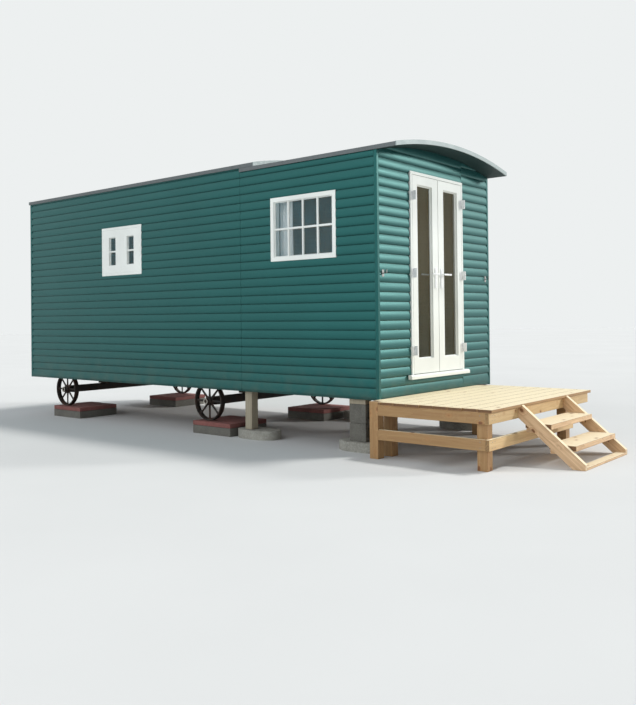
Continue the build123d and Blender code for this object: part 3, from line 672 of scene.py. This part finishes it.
SKIRT = box("near_wall_rear")[4]
FRONT_EAVE, REAR_EAVE = box("roof_front")[4], box("roof_rear")[4]
JOINT_X, JOINT_GAP = box("near_wall_front")[0], 0.0035
ROOF_RISE, HALF_WIDTH, TOP_GAP = 0.128, 1.133, 0.004
ROOF_R = (HALF_WIDTH ** 2 + ROOF_RISE ** 2) / (2 * ROOF_RISE)
SKY = 9.0    # above any roof, where the roof alone ends the boards
SMALL_FACE, LARGE_W, LARGE_H, LARGE_Z = 0.0353, 0.885, 0.678, 1.930
casement_low, casement_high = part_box("small_window_casements")
small_hole = (casement_low.x - SMALL_FACE, casement_high.x + SMALL_FACE,
              casement_low.z - SMALL_FACE, casement_high.z + SMALL_FACE)
frames_end = box("window_frames")[1]
large_hole = (frames_end - LARGE_W, frames_end, LARGE_Z, LARGE_Z + LARGE_H)


def near_point(run, out, z):
    return (run, NEAR_Y + WALL_FACE - out, z)


def far_point(run, out, z):
    return (run, FAR_Y - WALL_FACE + out, z)


def door_point(run, out, z):
    return (DOOR_X - WALL_FACE + out, run, z)


def rear_point(run, out, z):
    return (REAR_X + WALL_FACE - out, run, z)


for end, start, stop, eave, hole in (("rear", REAR_X + BEAD, JOINT_X - JOINT_GAP, REAR_EAVE, small_hole),
                                     ("front", JOINT_X, DOOR_X - BEAD, FRONT_EAVE, large_hole)):
    top = under_arch(NEAR_Y + WALL_FACE, eave)
    for side, holes, point in (("near", [hole], near_point), ("far", [], far_point)):
        boards(f"{side}_boards_{end}", clear_of(start, stop, SKIRT, top, holes), lambda run: top, point, green_x)

door_low_y, door_high_y = box("door_jambs")[2:4]
door_top, cill_z = box("door_head")[5], box("door_cill")[4]
end_low_y, end_high_y = NEAR_Y + BEAD, FAR_Y - BEAD
for part, area, material, groove in (
        ("near", (end_low_y, door_low_y, SKIRT, SKY), green_y, LOWEST_GROOVE),
        ("far", (door_high_y, end_high_y, SKIRT, SKY), green_far_y, LOWEST_GROOVE + DOOR_SIDE_STEP),
        ("over", (door_low_y, door_high_y, door_top, SKY), green_y, LOWEST_GROOVE),
        ("under", (door_low_y, door_high_y, SKIRT, cill_z), green_y, LOWEST_GROOVE)):
    boards(f"door_boards_{part}", [area], lambda y: under_arch(y, FRONT_EAVE), door_point, material, groove)
boards("rear_boards", [(end_low_y, end_high_y, SKIRT, SKY)], lambda y: under_arch(y, REAR_EAVE), rear_point,
       green_y)


# ---- CAD nodes keep their shapes and get finished materials
def cover(material, *nodes):
    for node in nodes:
        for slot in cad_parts[node].material_slots:
            slot.link = "OBJECT"
            slot.material = material


LINING_BOARD = 0.095


def wall_material(name, axis):
    """Paint outside and pale boards along the axis with narrow grooves inside."""
    m = Material(name, 0.45)
    x, y, z = m.place()
    grain = m.noise(m.scaled(along(axis, 3, 120)), 1.0, 5, 0.6)
    drift = m.noise(m.coords, 1.8, 3)
    paint = m.mix(m.range(drift, 0.3, 0.7), shade(GREEN, 0.8), shade(GREEN, 0.95))
    groove = m.maths("PINGPONG", x if axis == "X" else y, LINING_BOARD / 2)
    seam = m.range(groove, 0.0, 0.003, 1, 0)
    board = m.mix(m.range(grain, 0.3, 0.7), rgb(LINING_PALE), rgb(LINING_DARK))
    board = m.mix(m.times(seam, 0.6), board, rgb(LINING_SEAM))
    inner = WALL_FACE + WALL_T - 0.001
    in_x, in_y = (m.times(m.maths("GREATER_THAN", at, low + inner), m.maths("LESS_THAN", at, high - inner))
                  for at, low, high in ((x, REAR_X, DOOR_X), (y, NEAR_Y, FAR_Y)))
    m.colour(m.mix(m.times(in_x, in_y), paint, board))
    m.bump(m.maths("SUBTRACT", m.times(grain, 0.3), seam), 0.0015, 0.7)
    return m.made


wall_x, wall_y = wall_material("wall_x", "X"), wall_material("wall_y", "Y")
cover(wall_x, "near_wall_rear", "near_wall_front", "far_wall_rear", "far_wall_front")
cover(wall_y, "rear_wall", "door_wall_near", "door_wall_far", "door_wall_over", "door_wall_under")
cover(floor_wood, "floor_boards")
cover(under_wood["Y"], "floor_joists")
cover(roof_sheet, "roof_rear", "roof_front")
cover(door_glass, "near_door_glass", "far_door_glass")
cover(window_glass, "window_glass")
cover(white_enamel, "near_door_hinges", "far_door_hinges", "door_hinge_seats")
cover(zinc, "curtain_rail")

# ---- Timber and metal with softened arrises
dressed("corner_beads", green_z, "corner_bead_timbers", "cladding", width=0.005, segments=3)
dressed("roof_end_strips", bright_strip, "end_strips", "bright_trim", width=0.0015)
dressed("eaves_trims", grey_trim, "eaves_strips", "roof_trim", width=0.0015)
dressed("bearers", under_wood, "bearer_timbers", "inner_timber", width=0.003)
dressed("front_bearers", under_wood, "front_bearer_timbers", "inner_timber", width=0.003)
dressed("bolsters", under_wood, "bolster_blocks", "inner_timber", width=0.003)
dressed("prop_timbers", old_pine, "prop_post_timbers", "old_timber", width=0.004, segments=3)
dressed("door_jambs", white_z, "jamb_timbers", "joinery")
dressed("door_head", white_y, "head_timber", "joinery")
dressed("door_cill", white_y, "cill_timber", "joinery", width=0.003, segments=3)
lever_edges = {"width": 0.0042, "segments": 4}
for side in ("near", "far"):
    leaf, handle, body = f"{side}_door_leaf", f"{side}_door_handle", f"{side}_door"
    dressed(leaf, white_z, f"{side}_leaf_frame", "joinery", body, 0.0015)
    dressed(handle, white_enamel, f"{side}_lever", "white_metal", body, **lever_edges)
    # The lever inside mirrors the outer one through the middle of the leaf
    inner = copied(handle)
    back, front = box(leaf)[:2]
    for v in inner.verts:
        v.co.x = back + front - v.co.x
    bmesh.ops.reverse_faces(inner, faces=inner.faces)
    shape_piece(inner, f"{side}_inner_lever", white_enamel, body, "white_metal", **lever_edges)
dressed("door_hooks", zinc, "hold_back_hooks", "steel", width=0.0008)
dressed("window_frames", white_x, "window_frame_timbers", "joinery")
dressed("small_window_casements", white_x, "casement_timbers", "joinery")
dressed("axles", iron, "axle_bars", "iron", width=0.003, segments=3)
dressed("deck_boards", plank_pine, "deck_planks", "deck_timber", width=0.003, ragged=(1, 0.0, 0.011))
# The front rim is in the paler pine: painted light
dressed("deck_end_rims", lit_front_pine, "end_rim_timbers", "deck_timber", width=0.0025)
dressed("deck_joists", pine, "joist_timbers", "deck_timber", width=0.0025)
dressed("deck_posts", pine, "post_timbers", "deck_timber", width=0.004)
# The rail across the front is in the paler pine: painted light
dressed("deck_rails", {**pine, "Y": lit_front_pine["Y"]}, "rail_timbers", "deck_timber", width=0.0025)
# The steps are in the paler pine: painted light
dressed("step_stringers", lit_step_slope, "stringer_timbers", "deck_timber", width=0.0025)
dressed("step_treads", lit_step_pine, "tread_timbers", "deck_timber", width=0.003)
dressed("tread_cleats", lit_step_pine, "cleat_timbers", "deck_timber")
dressed("foot_board", lit_step_pine, "foot_plank", "deck_timber", width=0.003)

# ---- Slabs, pads and block piers
rough_blocks("wheel_slabs", red_stone, "red_slabs", "red_paving", 0.05, 0.005)
rough_blocks("slab_bases", grey_stone, "slab_beds", "concrete", 0.05, 0.006)
rough_blocks("prop_pads", rough_stone, "rough_pads", "concrete", 0.04, 0.014, 0.3)

piers = Build()
COURSES, MORTAR, MORTAR_IN = 2, 0.010, 0.006
CELL_WALL, CELL_DEEP, CHAMFER = 0.034, 0.06, 0.003


def section(x, y0, y1, z0, z1):
    """The four corners of an upright section across X."""
    return [Vector((x, y, z)) for y, z in ((y0, z0), (y1, z0), (y1, z1), (y0, z1))]


for low, high in solids("door_end_piers"):
    course = (high.z - low.z) / COURSES
    # From the floor of one open cell, out round the block and into the cell at its other end
    places = [(CELL_DEEP, CELL_WALL), (0, CELL_WALL), (0, CHAMFER), (CHAMFER, 0)]
    places = [(low.x + along_x, inset) for along_x, inset in places] + \
             [(high.x - along_x, inset) for along_x, inset in places[::-1]]
    for k in range(COURSES):
        base, top = low.z + k * course, low.z + (k + 1) * course - (MORTAR if k < COURSES - 1 else 0)
        piers.loft([section(x, low.y + inset, high.y - inset, base + inset, top - inset) for x, inset in places])
    joint = low.z + course - MORTAR
    piers.loft([section(x, low.y + MORTAR_IN, high.y - MORTAR_IN, joint, joint + MORTAR)
                for x in (low.x + MORTAR_IN, high.x - MORTAR_IN)])
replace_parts(piers.piece("block_courses", grey_stone, "concrete"), "door_end_piers")


# ---- Wheels: cast rim, ribbed spokes and a stepped hub, on the axle's pin
RIM = ((0.2085, -0.0300), (0.2100, -0.0318), (0.2222, -0.0318), (0.2246, -0.0290), (0.2249, 0.0), (0.2246, 0.0290),
       (0.2222, 0.0318), (0.2100, 0.0318), (0.2085, 0.0300), (0.2070, 0.0150), (0.2035, 0.0080), (0.2035, -0.0080),
       (0.2070, -0.0150))
HUB = ((0.0224, -0.0515), (0.0330, -0.0515), (0.0352, -0.0495), (0.0360, -0.0380), (0.0385, -0.0350),
       (0.0450, -0.0320), (0.0458, -0.0290), (0.0458, 0.0290), (0.0450, 0.0320), (0.0385, 0.0350),
       (0.0360, 0.0380), (0.0352, 0.0495), (0.0330, 0.0515), (0.0224, 0.0515))
# Each place along a spoke: radius, half the width, half the thickness
SPOKE = ((0.0400, 0.0205, 0.0130), (0.0560, 0.0170, 0.0108), (0.0900, 0.0140, 0.0100), (0.1500, 0.0118, 0.0095),
         (0.1900, 0.0122, 0.0100), (0.2020, 0.0150, 0.0120), (0.2070, 0.0185, 0.0140))
# A flat oval with a low rib along the middle of both faces: shares across and through
SPOKE_SECTION = ((1, 0), (0.93, 0.42), (0.62, 0.60), (0.28, 0.66), (0.16, 1), (-0.16, 1), (-0.28, 0.66),
                 (-0.62, 0.60), (-0.93, 0.42), (-1, 0), (-0.93, -0.42), (-0.62, -0.60), (-0.28, -0.66),
                 (-0.16, -1), (0.16, -1), (0.28, -0.66), (0.62, -0.60), (0.93, -0.42))
SPOKES = 8
for end in ("rear", "front"):
    for side in ("near", "far"):
        body = f"{end}_wheel_{side}"
        centre = middle_of(body)
        made = Build()
        made.lathe(RIM, centre, (0, 1, 0), 96)
        made.lathe(HUB, centre, (0, 1, 0), 48)
        for k in range(SPOKES):
            turn = 2 * math.pi * k / SPOKES
            out = Vector((math.cos(turn), 0, math.sin(turn)))
            across = Vector((-math.sin(turn), 0, math.cos(turn)))
            made.loft([[centre + out * radius + across * (half_w * a) + Vector((0, half_t * b, 0))
                        for a, b in SPOKE_SECTION] for radius, half_w, half_t in SPOKE])
        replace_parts(made.piece(f"{body}_casting", iron, "iron", body, 38), body)

# Each axle ends in a steel ring with a nut
axle_low, axle_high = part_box("axles")
CAP_RING = ((0.0215, 0.0), (0.0330, 0.0), (0.0345, 0.0012), (0.0345, 0.0030), (0.0325, 0.0045), (0.0240, 0.0045),
            (0.0215, 0.0028))
NUT_R, NUT_H = 0.014, 0.007
caps, nuts = Build(), Build()
for end in ("rear", "front"):
    x, _, z = middle_of(f"{end}_wheel_near")
    for y, way in ((axle_low.y, -1), (axle_high.y, 1)):
        caps.lathe(CAP_RING, (x, y, z), (0, way, 0), 40)
        nuts.disc((x, y, z), (0, way, 0), NUT_R, NUT_H, 6)
caps.piece("hub_rings", worn_steel, "iron")
nuts.piece("hub_nuts", iron, "iron", angle=30)

# ---- Screw heads in the deck, treads and rims
PLANK_W, PLANKS, NOTCH_W = 0.136, 9, 0.13
SCREW_SHIFT, FROM_EDGE = 0.004, 0.032
SCREW_R, SCREW_H, SCREW_SINK, SCREW_SIDES = 0.0042, 0.0008, 0.0004, 10
screws = Build()


def screw(x, y, z, out=(0, 0, 1)):
    """A screw head in the face that the point lies on, sunk to half its height."""
    screws.disc(Vector((x, y, z)) - SCREW_SINK * Vector(out), out, SCREW_R, SCREW_H, SCREW_SIDES)


deck = box("deck_boards")
side_ys = [deck[2] + FROM_EDGE, deck[3] - FROM_EDGE]
joist_ys = sorted((low.y + high.y) / 2 for low, high in solids("deck_joists"))[1:-1]
plank_step = (deck[1] - deck[0] - PLANK_W) / (PLANKS - 1)
for k in range(PLANKS):
    for y in joist_ys + side_ys:
        if k == 0 and not deck[2] + NOTCH_W < y < deck[3] - NOTCH_W:
            continue    # the first plank is notched round the corner posts
        for off in (FROM_EDGE, PLANK_W - FROM_EDGE):
            screw(deck[0] + k * plank_step + off + random.uniform(-SCREW_SHIFT, SCREW_SHIFT),
                  y + random.uniform(-SCREW_SHIFT, SCREW_SHIFT), deck[5])
for low, high in solids("step_treads"):
    for y in (low.y + 0.02, high.y - 0.02):
        for x in (low.x + 0.05, (low.x + high.x) / 2, high.x - 0.08):
            screw(x, y, high.z)
rims = box("deck_end_rims")
RIM_T, HALF_POST = 0.037, 0.048
for z in (rims[4] + 0.03, rims[5] - 0.03, 0.205, 0.255):    # the last two are in the rail
    screw(rims[1] - RIM_T - HALF_POST, rims[2], z, (0, -1, 0))
    for y in (rims[2] + 0.06, rims[2] + 0.11):
        screw(rims[1], y, z, (1, 0, 0))
screws.piece("deck_screws", zinc, "steel", angle=30)


# ---- Glazing beads round the door panes and windows
OFF_GLASS = 0.0002
OVER_X, OVER_Y, UP = Vector((1, 0, 0)), Vector((0, 1, 0)), Vector((0, 0, 1))
TOWARDS_DECK, TOWARDS_ROOM, TOWARDS_NEAR = OVER_X, -OVER_X, -OVER_Y


def bead_frame(made, low, high, across, out, size, depth):
    """Four beads round an upright opening from low to high, mitred, standing on the glass."""
    profile = ((0, 0), (0, depth), (size * 0.35, depth * 0.92), (size, depth * 0.25), (size, 0))
    low, high = Vector(low), Vector(high)
    corners = [low, low + across * (high - low).dot(across), high, low + UP * (high - low).dot(UP)]
    inward = [across + UP, UP - across, -across - UP, across - UP]
    made.loft([[c + i * a + out * b for a, b in profile] for c, i in zip(corners, inward)], closed=True)


for side in ("near", "far"):
    x0, x1, y0, y1, z0, z1 = box(f"{side}_door_glass")
    made = Build()
    for x, out, size, depth in ((x1 + OFF_GLASS, TOWARDS_DECK, 0.012, 0.014),
                                (x0 - OFF_GLASS, TOWARDS_ROOM, 0.010, 0.007)):
        bead_frame(made, (x, y0, z0), (x, y1, z1), OVER_Y, out, size, depth)
    made.piece(f"{side}_door_beads", white_z, "joinery", f"{side}_door", 30)

# ---- Window bars: three upright and one across in the large window, one across in each small pane
BAR = ((-0.011, 0.0), (-0.011, 0.012), (-0.006, 0.018), (0.006, 0.018), (0.011, 0.012), (0.011, 0.0))
# The bars across are a little flatter, so that no two faces lie in one plane where they meet the uprights
CROSS_BAR = tuple((a, b * 0.96) for a, b in BAR)
LARGE_FACE, COLUMNS, CASEMENT_STILE, CASEMENT_RAIL = 0.045, 4, 0.115, 0.094
glass_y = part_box("window_glass")[0].y - OFF_GLASS
bars = Build()


def upright_bar(x, z0, z1):
    bars.bar(BAR, (x, glass_y, z0), (x, glass_y, z1), OVER_X, TOWARDS_NEAR)


def bar_across(profile, x0, x1, z):
    bars.bar(profile, (x0, glass_y, z), (x1, glass_y, z), UP, TOWARDS_NEAR)


def window_beads(x0, x1, z0, z1, size, depth):
    bead_frame(bars, (x0, glass_y, z0), (x1, glass_y, z1), OVER_X, TOWARDS_NEAR, size, depth)


large = [edge + way * LARGE_FACE for edge, way in zip(large_hole, (1, -1, 1, -1))]
for k in range(1, COLUMNS):
    upright_bar(large[0] + (large[1] - large[0]) * k / COLUMNS, *large[2:])
bar_across(CROSS_BAR, *large[:2], (large[2] + large[3]) / 2)
pane_off = (casement_high.x - casement_low.x) / 4
for way in (-1, 1):
    x = (casement_low.x + casement_high.x) / 2 + way * pane_off
    small = (x - pane_off + CASEMENT_STILE, x + pane_off - CASEMENT_STILE)
    bar_across(BAR, *small, (casement_low.z + casement_high.z) / 2)
    window_beads(*small, casement_low.z + CASEMENT_RAIL, casement_high.z - CASEMENT_RAIL, 0.008, 0.012)
window_beads(*large, 0.010, 0.014)
bars.piece("window_bars", white_x, "joinery", angle=30)

# ---- Curtain: a gathered cloth behind the large window's rear column
cloth = Material("curtain_linen", 0.85)
weave = [cloth.node("TexWave", {"Vector": cloth.scaled(scale), "Scale": 320.0}, bands_direction=way).outputs["Fac"]
         for scale, way in (((1, 0, 0), "X"), ((0, 0, 1), "Z"))]
threads = cloth.maths("ADD", *weave)
cloth.colour(cloth.mix(cloth.range(threads, 0.2, 1.8), rgb((238, 240, 238)), rgb((250, 250, 246))))
cloth.bump(threads, 0.0004, 0.5)
cloth.put(cloth.shader.inputs["Sheen Weight"], 0.2)
FOLDS, FOLD_DEPTH, DRIFT, BULGE = 5, 0.0165, 0.025, 0.0035
SIDE_GAP, END_GAP = 0.003, 0.002
x0, x1, y0, y1, z0, z1 = box("curtain")
cloth_w, cloth_drop = x1 - x0 - 2 * SIDE_GAP, z1 - z0 - 2 * END_GAP
columns, rows = 120, 28
verts, faces = [], []
for j in range(rows + 1):
    v = j / rows
    for i in range(columns + 1):
        u = i / columns
        # The folds wander and deepen towards the hem
        phase = 2 * math.pi * FOLDS * (u + DRIFT * math.sin(5 * u + 2.3 * v) * v)
        depth = FOLD_DEPTH * (0.72 + 0.28 * v) * (0.9 + 0.1 * math.sin(9 * u))
        x = x0 + SIDE_GAP + cloth_w * u + BULGE * math.sin(2 * phase) * (1 - u) * u * 4
        verts.append((x, (y0 + y1) / 2 + depth * math.sin(phase), z1 - END_GAP - cloth_drop * v))
for j in range(rows):
    for i in range(columns):
        a = j * (columns + 1) + i
        faces.append([a, a + 1, a + columns + 2, a + columns + 1])
curtain = mesh_piece("linen_curtain", verts, faces, cloth.made, "hut", 180)
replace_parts(curtain, "curtain")


# ---- Camera: solved from the photograph
CAMERA_AT = Vector((DOOR_X + 4.4776, NEAR_Y - 6.3491, 1.3377))
RIGHT = Vector((0.7723, 0.63517, -0.01095))
DOWN = Vector((-0.01474, 0.00068, -0.99989))
AHEAD = Vector((-0.63509, 0.77238, 0.00989))
FOCAL_PX, WIDTH_PX, HEIGHT_PX = 807.2, 636, 705
CENTRE_PX = (318.3, 308.7)
camera = bpy.data.cameras.new("camera")
camera.sensor_fit = "AUTO"
camera.sensor_width = 36
camera.lens = FOCAL_PX / HEIGHT_PX * camera.sensor_width
camera.shift_x = (WIDTH_PX / 2 - CENTRE_PX[0]) / HEIGHT_PX
camera.shift_y = -(HEIGHT_PX / 2 - CENTRE_PX[1]) / HEIGHT_PX
camera.clip_end = 300
camera_object = linked("camera", camera)
turn = Matrix((RIGHT, -DOWN, -AHEAD)).transposed().normalized()
camera_object.matrix_world = Matrix.Translation(CAMERA_AT) @ turn.to_4x4()
bpy.context.scene.camera = camera_object

# ---- Floor, light and background
FLOOR_R, FLOOR_SIDES = 70, 96
floor_mesh = bpy.data.meshes.new("studio_floor")
angles = [2 * math.pi * i / FLOOR_SIDES for i in range(FLOOR_SIDES)]
floor_mesh.from_pydata([(FLOOR_R * math.cos(a), FLOOR_R * math.sin(a), 0) for a in angles], [],
                       [list(range(FLOOR_SIDES))])
floor_paint = Material("studio_floor", 0.9)
patches = floor_paint.range(floor_paint.noise(floor_paint.coords, 0.4, 3), 0.3, 0.7)
floor_paint.colour(floor_paint.mix(patches, rgb((208, 209, 208)), rgb((212, 213, 212))))
floor_mesh.materials.append(floor_paint.made)
floor = linked("studio_floor", floor_mesh)

# Soft light from all round; the camera, glass and metal see a pale background instead
world = bpy.data.worlds.new("studio")
bpy.context.scene.world = world
world.use_nodes = True
tree = world.node_tree
tree.nodes.clear()
light, shown = (tree.nodes.new("ShaderNodeBackground") for _ in range(2))
light.inputs[0].default_value = (0.88, 0.94, 1.0, 1)
light.inputs[1].default_value = 0.5
shown.inputs[0].default_value = rgb((237, 240, 240))
rays = tree.nodes.new("ShaderNodeLightPath")
seen = rays.outputs["Is Camera Ray"]
for kind in ("Is Transmission Ray", "Is Glossy Ray"):
    either = tree.nodes.new("ShaderNodeMath")
    either.operation = "MAXIMUM"
    tree.links.new(seen, either.inputs[0])
    tree.links.new(rays.outputs[kind], either.inputs[1])
    seen = either.outputs[0]
blend = tree.nodes.new("ShaderNodeMixShader")
output = tree.nodes.new("ShaderNodeOutputWorld")
for source, socket in ((seen, blend.inputs[0]), (light.outputs[0], blend.inputs[1]),
                       (shown.outputs[0], blend.inputs[2]), (blend.outputs[0], output.inputs[0])):
    tree.links.new(source, socket)


def sun(name, towards, strength, colour, angle):
    lamp = bpy.data.lights.new(name, "SUN")
    lamp.energy, lamp.color, lamp.angle = strength, colour, math.radians(angle)
    lamp_object = linked(name, lamp)
    lamp_object.rotation_mode = "QUATERNION"
    lamp_object.rotation_quaternion = Vector(towards).to_track_quat("-Z", "Y")


sun("key", (-0.25, -0.35, -0.90), 1.75, (1.0, 0.98, 0.95), 9)
sun("low", (-0.65, -0.70, -0.30), 1.6, (1.0, 0.99, 0.97), 8)
sun("fill", (0.15, 0.80, -0.40), 1.1, (0.94, 0.97, 1.0), 60)

ROOM_LAMP_Z = 2.3
for share in (0.3, 0.78):
    lamp = bpy.data.lights.new("room", "POINT")
    lamp.energy, lamp.color, lamp.shadow_soft_size = 5, (1.0, 0.95, 0.86), 0.3
    linked("room", lamp).location = (REAR_X + (DOOR_X - REAR_X) * share, MID_Y, ROOM_LAMP_Z)

bpy.context.scene.view_settings.view_transform = "Standard"
